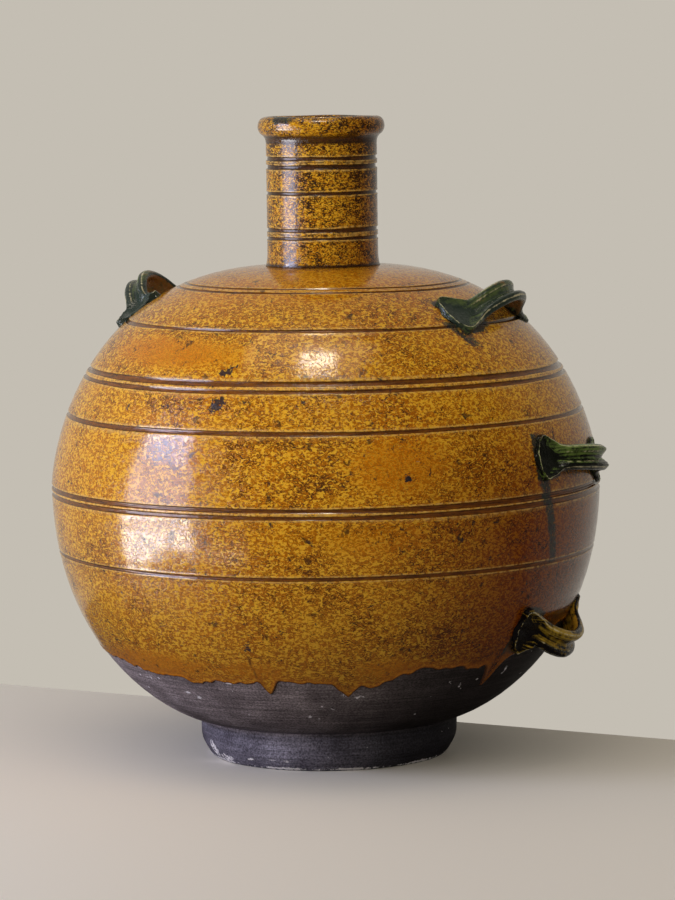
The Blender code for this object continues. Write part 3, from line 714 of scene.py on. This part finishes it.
# The lip's roll from the cove round over the crown to the bore, as distance out from the tube and
# below the rim.
LIP_ROLL = ((0.2, 17.4), (0.7, 15.6), (2.0, 13.8), (4.2, 11.8), (5.6, 8.8), (5.7, 6.0), (4.9, 3.2),
            (3.2, 1.1), (0.8, 0.1), (-1.8, 0.4), (-3.8, 1.8), (-4.9, 4.4), (-5.4, 9.0), (-6.0, 14.0),
            (-6.8, 18.0))
# Bands of close flecks, as distance below the rim and half width.
NECK_BANDS = ((33.0, 6.5), (54.9, 3.5), (83.5, 6.0), (20.0, 3.0))


def curve_through(points, count, closed=False):
    """A smooth curve through points, open or closed."""
    points = np.array(points, dtype=float)
    if closed:
        padded = np.vstack([points[-1], points, points[:2]])
        t = np.linspace(0.0, len(points), count, endpoint=False)
    else:
        padded = np.vstack([2 * points[0] - points[1], points, 2 * points[-1] - points[-2]])
        t = np.linspace(0.0, len(points) - 1.000001, count)
    i = t.astype(int)
    f = (t - i)[:, None]
    a, b, c, d = (padded[i + k] for k in range(4))
    return 0.5 * (2 * b + (c - a) * f + (2 * a - 5 * b + 4 * c - d) * f ** 2
                  + (3 * b - a - 3 * c + d) * f ** 3)


ring_rows = [RIM - drop + np.linspace(-2.4, 2.4, 13) for drop, _, _ in NECK_RINGS]
column_z = np.unique(np.concatenate([np.linspace(SHOULDER, LIP_FOOT, 60), *ring_rows]))[::-1]
column_z = column_z[column_z >= SHOULDER]
column = np.stack([NECK_RADIUS + 1.6 * np.exp(-(column_z - SHOULDER) / 3.2), column_z], 1)[1:]
roll = curve_through([(NECK_RADIUS + out, RIM - drop) for out, drop in LIP_ROLL], 64)[::-1]
bore = [(NECK_BORE, z) for z in (SHOULDER, RIM - 96.0, RIM - 71.0, RIM - 46.0, RIM - 26.0)]
neck_r, neck_z = spun([*roll, *column, *bore], NECK_FLATS)
outer = (np.arange(len(neck_r)) >= len(roll)) & (np.arange(len(neck_r)) < len(roll) + len(column))
outer = outer[:, None]
groove, lip = np.zeros_like(neck_r), np.zeros_like(neck_r)
for index, (drop, half, deep) in enumerate(NECK_RINGS):
    wide = half * (1.0 + wander(neck_round, 60 + index, 0.2, 12))
    away = np.abs(neck_z - RIM + drop - wander(neck_round, 50 + index // 2, 0.35, 5))
    cut = np.clip(1.0 - away / wide, 0.0, 1.0) * outer
    burr = np.exp(-((away - wide - 0.5) / 0.45) ** 2) * outer
    neck_r = neck_r - deep * eased(cut * 2.4) + 0.16 * burr
    groove = np.maximum(groove, eased(cut * 3.0))
    lip = np.maximum(lip, burr)
swing = 0.35 * np.cos(2.0 * (neck_round - 0.7)) + wander(neck_round, 70, 0.15, 6)
neck_r = neck_r + (neck_r > NECK_BORE + 0.5) * swing + 0.05 * np.sin(neck_z / 1.3) * outer
neck_z = neck_z + eased((neck_z - LIP_FOOT) / 12.0) * wander(neck_round, 71, 0.5, 5)

# Glaze pools in the cove under the lip and where the neck stands on the shoulder.
on_tube = neck_r > NECK_RADIUS - 2.0
cove = np.exp(-((neck_z - LIP_FOOT - 1.6) / 2.6) ** 2) * on_tube * (neck_r < NECK_RADIUS + 3.5)
foot_pool = np.exp(-((neck_z - SHOULDER - 0.6) / 1.5) ** 2) * on_tube
groove = np.maximum(groove, np.maximum(0.9 * cove, 0.7 * foot_pool))
on_roll = (neck_z > LIP_FOOT + 1.0) & (neck_r > ROLL_INNER)
side = from_front(neck_round)
splash = np.exp(-((side + 40.0) / 17.0) ** 2) + 0.7 * np.exp(-((side - 150.0) / 24.0) ** 2)
splash = splash * eased((neck_z - RIM + 7.0) / 4.0) * (neck_r > ROLL_INNER)
# Painted shade on the neck's right side, away from the window: more dark flecks and a brown darkening
# there.
shaded_side = eased((side - 5.0) / 45.0) * eased((150.0 - side) / 60.0)
banded = sum(np.exp(-((neck_z - RIM + drop) / half) ** 2) for drop, half in NECK_BANDS)
crowd = (0.8 * shaded_side * np.exp(-((neck_z - RIM + 34.0) / 26.0) ** 2) + 0.2 * on_roll
         + banded * (0.55 + wander(neck_round, 72, 0.5, 12)) * outer)
marks = {
    "edge_mm": DEEP_IN, "groove": groove, "lip": lip, "copper_and_shade": 1.05 * splash, "blot": 0.0,
    "crowd": np.clip(crowd, 0.0, 1.0), "burn_and_shade": 0.6 * shaded_side,
    "fleck": 0.55 - 0.12 * on_roll - 0.10 * eased((RIM - 81.0 - neck_z) / 20.0),
}
neck_glaze = amber_glaze("flecked_amber_lead_glaze", 2.2, -0.325, "#2e1802", "#6a3e04", "#c68206",
                         "#dca41c", "#2e1c10")
neck = thrown("neck_and_lip_glazed", neck_r, neck_z, marks, "joined", neck_glaze)
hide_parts("neck")
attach(neck, "root")

# Strap lugs
# Six pulled straps of clay, each bent into a loop with two thumb-ribs along it and its ends spread
# on the wall as dished pads with pinched rims. Copper in the glaze fires green-black over them,
# and cream on the sharp edges where it is thin.
STRAP_THICK = 7.5
PAD_THICK = 4.8
# Sections as shares of the width and of the thickness.
STRAP_SECTION = ((-0.50, 0.50), (-0.38, 0.97), (-0.24, 1.00), (0.0, 0.50), (0.24, 1.00), (0.38, 0.97),
                 (0.50, 0.50), (0.38, 0.06), (0.18, 0.0), (0.0, 0.0), (-0.18, 0.0), (-0.38, 0.06))
PAD_SECTION = ((-0.50, 0.45), (-0.465, 1.0), (-0.37, 0.52), (0.0, 0.24), (0.37, 0.52), (0.465, 1.0),
               (0.50, 0.45), (0.49, -0.2), (0.22, -0.2), (0.0, -0.2), (-0.22, -0.2), (-0.49, -0.2))
SECTION_POINTS = 96
LUG_STATIONS = 216
BULGE = 3.6              # how far a pad's end is rounded out in the middle
PRESSED = 0.9            # how uneven the thumb has left the clay
PULLED = 0.5             # how deep the fingers' lines along the strap are
BEDDED = 0.4             # how far a pad's underside lies in the glaze

# How far the end of a lug's front pad is cut slanting, its upper corner reaching further.
SLANTS = {"lug_right_upper": 0.14, "lug_right_lower": 0.16, "lug_left_upper": -0.15}
# How many millimetres further the whole end of its front pad reaches.
REACHES = {"lug_right_upper": 4.0}
# How clearly the end rim of its front pad shows cream.
END_CREAM = {"lug_right_upper": 1.0, "lug_right_middle": 0.9, "lug_right_lower": 0.85,
             "lug_left_upper": 0.55}
# How dark the leg that runs into its front pad is.
DARK_LEGS = {"lug_left_upper": 0.9}


def rippled(along, across, coarse_along, coarse_across, start):
    """An even random ripple over a strap, from how often it changes along and across."""
    return np.array([[noise.noise(Vector((a * coarse_along, b * coarse_across, start))) for b in row]
                     for a, row in zip(along, across)])


def lug_form(name):
    """Points and marks of a lug: sections from one pad's end over the loop to the other's."""
    level, column, tilt, length, pad_width, strap_width, loop, droop = LUGS[name]
    seed = sorted(LUGS).index(name)
    share = np.linspace(-1.0, 1.0, LUG_STATIONS)[:, None]
    share = np.sign(share) * (1.0 - (1.0 - np.abs(share)) ** 1.3)
    far = np.abs(share)
    half = length / 2.0
    along = share * half
    front_pad = share < 0.0 if "right" in name else share > 0.0

    # Along the lug: how the strap lifts, spreads and thins, and its end's pinched rim.
    lift = loop * np.clip(1.0 - (along / LOOP_HALF) ** 2, 0.0, 1.0)
    for _ in range(50):
        lift[1:-1] = (lift[:-2] + 2.0 * lift[1:-1] + lift[2:]) / 4.0
    lean = np.arctan(np.gradient(lift[:, 0], along[:, 0]))[:, None]
    pad = eased((np.abs(along) - 0.72 * LOOP_HALF) / (0.92 * half - 0.72 * LOOP_HALF))
    width = strap_width + (pad_width - strap_width) * pad
    width = width * (1.0 + 0.13 * eased((far - 0.62) / 0.26))
    width = width * np.sqrt(1.0 - 0.80 * np.clip((far - 0.84) / 0.16, 0.0, 1.0) ** 2.8)
    thick = STRAP_THICK + (PAD_THICK - STRAP_THICK) * pad
    thick = thick * np.where(front_pad, 1.0, 1.0 - 0.60 * pad)
    rim = np.exp(-((far - 0.955) / 0.022) ** 2)
    raised = 0.72 * rim * np.where(front_pad, 1.0 if "right" in name else 0.45, 0.4)
    fall = 1.0 - 0.75 * eased((far - 0.965) / 0.035)
    end_line = np.where(front_pad, END_CREAM.get(name, 0.7), 0.6) * eased((rim - 0.70) / 0.28)
    leg = DARK_LEGS.get(name, 0.0) * eased((far - 0.30) / 0.15) * front_pad

    # Across it: the section turns from a ribbed strap to a dished pad.
    strap = curve_through(STRAP_SECTION, SECTION_POINTS, closed=True)
    spread = curve_through(PAD_SECTION, SECTION_POINTS, closed=True)
    x, y = (strap[:, k] + (spread[:, k] - strap[:, k]) * pad for k in (0, 1))
    top = spread[:, 1] > 0.1
    y = np.where(top, np.maximum(y, raised), y) * np.where(top, fall, 1.0)
    across, up = x * width, y * thick
    thin = 0.62 / width
    crest = np.exp(-((np.abs(x) - 0.405 - 0.06 * pad) / thin) ** 2)
    crest = crest + 0.8 * np.exp(-((np.abs(x) - 0.185) / thin) ** 2) * (1.0 - pad)
    crest = crest * eased((0.966 - far) / 0.012)
    crest = np.maximum(crest, end_line * (np.abs(x) < 0.47)) * top
    # Dark where glaze pools between the ribs and in the pad's dish, and on the lower half of each strap,
    # there partly pooled glaze and partly painted shade.
    hollow = np.maximum(eased((0.62 - y) / 0.25), 0.9 * eased((x - 0.02) / 0.25) * (1.0 - pad))
    hollow = np.maximum(hollow, leg) * top

    # On the wall: laid along the parallel with its tilt, its droop and the unevenness of a thumb.
    out = lift + up * np.cos(lean)
    ahead = np.sign(share)
    run = along - up * np.sin(lean) + ahead * BULGE * (1.0 - (x / 0.5) ** 2) * eased((far - 0.6) / 0.4)
    run = run - ahead * SLANTS.get(name, 0.0) * across * pad * front_pad
    run = run + ahead * REACHES.get(name, 0.0) * pad * front_pad
    wobble = rippled(along[:, 0], across, 0.10, 0.16, seed * 7.0)
    finger = rippled(along[:, 0], across, 0.045, 0.9, seed * 5.0 + 3.0)
    out = out + np.where(top, PRESSED * wobble * (0.5 + 0.7 * pad) + PULLED * finger, 0.0)
    out = out + 0.1 - BEDDED * (~top) * pad
    across = across + PRESSED * wobble * pad * np.sign(x) + lift * droop
    angle = math.radians(tilt)
    centre = float(down_to(level))
    base = float(on_body(centre)[0])
    turn = (run * math.cos(angle) - across * math.sin(angle)) / base + math.radians(column)
    radius, height = on_body(centre + run * math.sin(angle) + across * math.cos(angle), out)
    points = np.stack([radius * np.cos(turn), radius * np.sin(turn), height], -1)
    marks = {"crest": crest, "hollow": hollow, "pad": pad, "pulled": 0.5 + finger,
             "inner": (~top) * (1.0 - pad)}
    return points, marks


def copper_glaze(name, olive, dark, gold, shine, pad_gloom):
    """Copper-green lead glaze, thick over the lugs: glossy green-black, olive on the ribs.

    The glaze breaks to cream in thin broken lines along ribs and pinched rims, about 1 mm wide.
    """
    material, tree, place, mark = new_material(name, "crest", "hollow", "pad", "inner", "pulled")
    # Each pattern has a grain in millimetres, detail, roughness and twist.
    fine, streak, patch = (
        add(tree, "TexNoise", {"Vector": place, "Scale": 1.0 / size, "Detail": detail,
                               "Roughness": rough, "Distortion": twist})
        for size, detail, rough, twist in ((1.6, 2.0, 0.5, 0.4), (5.0, 3.0, 0.65, 0.6),
                                           (17.0, 3.0, 0.5, 0.0)))
    # Olive, gold and cream each come where a sum of marks and patterns is high enough.
    body = dark
    for total, parts, low, high, most, colour in (
            (streak, ((mark["pad"], -pad_gloom), (mark["hollow"], -0.50), (mark["crest"], 0.16),
                      (mark["pulled"], 0.6)), 0.56, 0.98, 1.0, olive),
            (patch, ((streak, 1.0), (mark["inner"], 0.30), (mark["hollow"], -0.22),
                     (mark["pad"], -0.20)), 1.10, 1.36, 0.8, gold),
            (mark["crest"], ((streak, 1.8), (fine, 0.5)), 1.80, 2.16, 0.9, "#cdc39c")):
        for part, weight in parts:
            total = add(tree, "Math", {0: part, 1: weight, 2: total}, operation="MULTIPLY_ADD")
        share = add(tree, "MapRange", {0: total, 1: low, 2: high, 3: 0.0, 4: most})
        body = add(tree, "Mix", {0: share, 6: body, 7: colour}, data_type="RGBA")
    relief = add(tree, "Math", {0: streak, 1: 1.6, 2: fine}, operation="MULTIPLY_ADD")
    feed(tree.nodes["Principled BSDF"], {
        "Base Color": body,
        "Roughness": add(tree, "MapRange", {0: fine, 1: 0.3, 2: 0.7, 3: 0.10, 4: 0.30}),
        "Normal": add(tree, "Bump", {"Height": relief, "Distance": 0.45 * MM}),
        "IOR": 1.52, "Specular IOR Level": shine})
    return material


LUG_GLAZES = {
    "upper": copper_glaze("copper_green_lead_glaze_grey", "#56653a", "#2c3830", "#86562a", 0.55, 0.06),
    "middle": copper_glaze("copper_green_lead_glaze_bright", "#6e8540", "#13150f", "#5d5a2c", 0.40, 0.20),
    "lower": copper_glaze("copper_green_lead_glaze_olive", "#b4922e", "#0c080b", "#cf962c", 0.25, 0.24),
}
for name in LUGS:
    points, marks = lug_form(name)
    lug = skin(name + "_glazed", points, marks, "flat", LUG_GLAZES[name.split("_")[2]])
    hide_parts(name)
    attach(lug, "root")

# Studio
# A pale table top in front of a plain wall colour, a tall soft window to the left in three lights
# over a pale sill, a small soft lamp high in front, and a faint light from the ceiling. The camera
# stands where the photograph's did. All lengths here are in metres.
WALL_COLOUR = "#c4beb3"
# The top's back edge runs as the photograph's does, and its other edges are outside the picture.
TABLE = ((-0.42, -0.60), (1.20, -0.60), (1.20, 0.054), (-0.42, 0.172))
TABLE_THICK = 0.04
verts = [(x, y, z) for z in (0.0, -TABLE_THICK) for x, y in TABLE]
faces = [(0, 1, 2, 3), (7, 6, 5, 4)] + [(k, k + 4, (k + 1) % 4 + 4, (k + 1) % 4) for k in range(4)]
mesh = bpy.data.meshes.new("table_top")
mesh.from_pydata(verts, [], faces)
table = bpy.data.objects.new("table_top", mesh)
bpy.context.scene.collection.objects.link(table)
chalk = bpy.data.materials.new("pale_painted_board")
chalk.use_nodes = True
# The camera sees it pale. The pot sees it darker, so that little light comes up from it.
ray = add(chalk.node_tree, "LightPath", output="Is Camera Ray").node.outputs
paint = "#f6f0e6"
for seen_by, colour in (("Is Glossy Ray", "#6c655c"), ("Is Diffuse Ray", "#2e2925")):
    paint = add(chalk.node_tree, "Mix", {0: ray[seen_by], 6: paint, 7: colour}, data_type="RGBA")
feed(chalk.node_tree.nodes["Principled BSDF"], {"Base Color": paint, "Roughness": 0.6})
mesh.materials.append(chalk)


def toward(side, above):
    """The direction at a turn from the camera and a rise, seen from the pot."""
    turn, rise = math.radians(FRONT + side), math.radians(above)
    return Vector((math.cos(turn) * math.cos(rise), math.sin(turn) * math.cos(rise), math.sin(rise)))


# Matt surfaces see a room that is brighter towards the window and the ceiling. The glaze mirrors a
# pale wall behind the pot, and a dimmer room in front of it. Each is given as the turn from the
# camera and the rise where it is brightest, and its strengths away from there and there.
MATT_ROOM = (-23.0, 9.0, -0.33, 1.66)
GLOSSY_ROOM = (192.0, 0.0, -0.58, 0.92)
DIMMEST = 0.05
world = bpy.data.worlds.new("plain_room")
bpy.context.scene.world = world
world.use_nodes = True
tree = world.node_tree
tree.nodes.clear()
place = add(tree, "TexCoord", output="Generated")
ray = add(tree, "LightPath", output="Is Camera Ray").node.outputs
rooms = []
for side, above, low, high in (MATT_ROOM, GLOSSY_ROOM):
    facing = add(tree, "VectorMath", {0: place, 1: toward(side, above)}, operation="DOT_PRODUCT")
    light = add(tree, "MapRange", {0: facing, 1: -1.0, 2: 1.0, 3: low, 4: high})
    rooms.append(add(tree, "Math", {0: light, 1: DIMMEST}, operation="MAXIMUM"))
unseen = add(tree, "Mix", {0: ray["Is Glossy Ray"], 2: rooms[0], 3: rooms[1]}, data_type="FLOAT")
seen = add(tree, "Math", {0: ray["Is Camera Ray"], 1: ray["Is Transmission Ray"]}, operation="MAXIMUM")
strength = add(tree, "MapRange", {0: seen, 3: unseen, 4: 1.0})
room = add(tree, "Background", {"Color": WALL_COLOUR, "Strength": strength})
add(tree, "OutputWorld", {"Surface": room})

# Soft flat lamps that face the pot, given by where each is seen from it: the turn of its middle
# from the camera and its elevation, the angles that it fills across and up, how bright its face
# is, its colour, and whether matt surfaces see it or only gloss does.
LAMPS = (
    ("window_upper_light", -71.5, 22.0, 21.0, 8.0, 14.5, "#cad8ff", True),
    ("window_middle_light", -71.0, 3.5, 30.0, 29.0, 4.75, "#e9e8ff", True),
    ("window_lower_light", -73.0, -16.0, 34.5, 10.0, 11.4, "#fbfbff", False),
    ("window_sill_light", -42.5, -19.3, 17.0, 2.4, 5.5, "#fff2da", True),
    ("high_front_lamp", -6.0, 68.5, 11.0, 11.0, 12.5, "#fff4e2", False),
    ("ceiling_bounce", -20.0, 74.0, 40.0, 24.0, 0.9, "#fff4e6", True),
)
LAMP_AWAY = 1.8
LAMPS_AIM = Vector((0.0, 0.0, 0.2))
for name, side, above, wide, tall, radiance, tone, matt in LAMPS:
    light = bpy.data.lights.new(name, "AREA")
    light.shape = "RECTANGLE"
    light.size = 2.0 * LAMP_AWAY * math.tan(math.radians(wide / 2.0))
    light.size_y = 2.0 * LAMP_AWAY * math.tan(math.radians(tall / 2.0))
    light.energy = radiance * math.pi * light.size * light.size_y
    light.color = linear(tone)[:3]
    lamp = bpy.data.objects.new(name, light)
    bpy.context.scene.collection.objects.link(lamp)
    lamp.location = LAMPS_AIM + toward(side, above) * LAMP_AWAY
    lamp.rotation_mode = "QUATERNION"
    lamp.rotation_quaternion = toward(side, above).to_track_quat("Z", "Y")
    lamp.visible_camera = False
    lamp.visible_diffuse = matt

# The camera, fitted to the rings, the outline and the foot in the photograph.
CAMERA_AWAY = 2.768
CAMERA_HEIGHT = 0.516
CAMERA_PITCH = 6.06
CAMERA_YAW = 0.18
CAMERA_ROLL = -0.78
camera_data = bpy.data.cameras.new("camera")
camera_data.sensor_width = 36.0
camera_data.lens = 152.04
camera_data.clip_end = 30.0
camera = bpy.data.objects.new("camera", camera_data)
bpy.context.scene.collection.objects.link(camera)
camera.location = toward(0.0, 0.0) * CAMERA_AWAY + Vector((0.0, 0.0, CAMERA_HEIGHT))
heading = Matrix.Rotation(math.radians(FRONT + 90.0 - CAMERA_YAW), 4, "Z")
tip = Matrix.Rotation(math.radians(90.0 - CAMERA_PITCH), 4, "X")
roll = Matrix.Rotation(math.radians(CAMERA_ROLL), 4, "Z")
camera.rotation_mode = "QUATERNION"
camera.rotation_quaternion = (heading @ tip @ roll).to_quaternion()
bpy.context.scene.camera = camera
bpy.context.scene.view_settings.view_transform = "Standard"
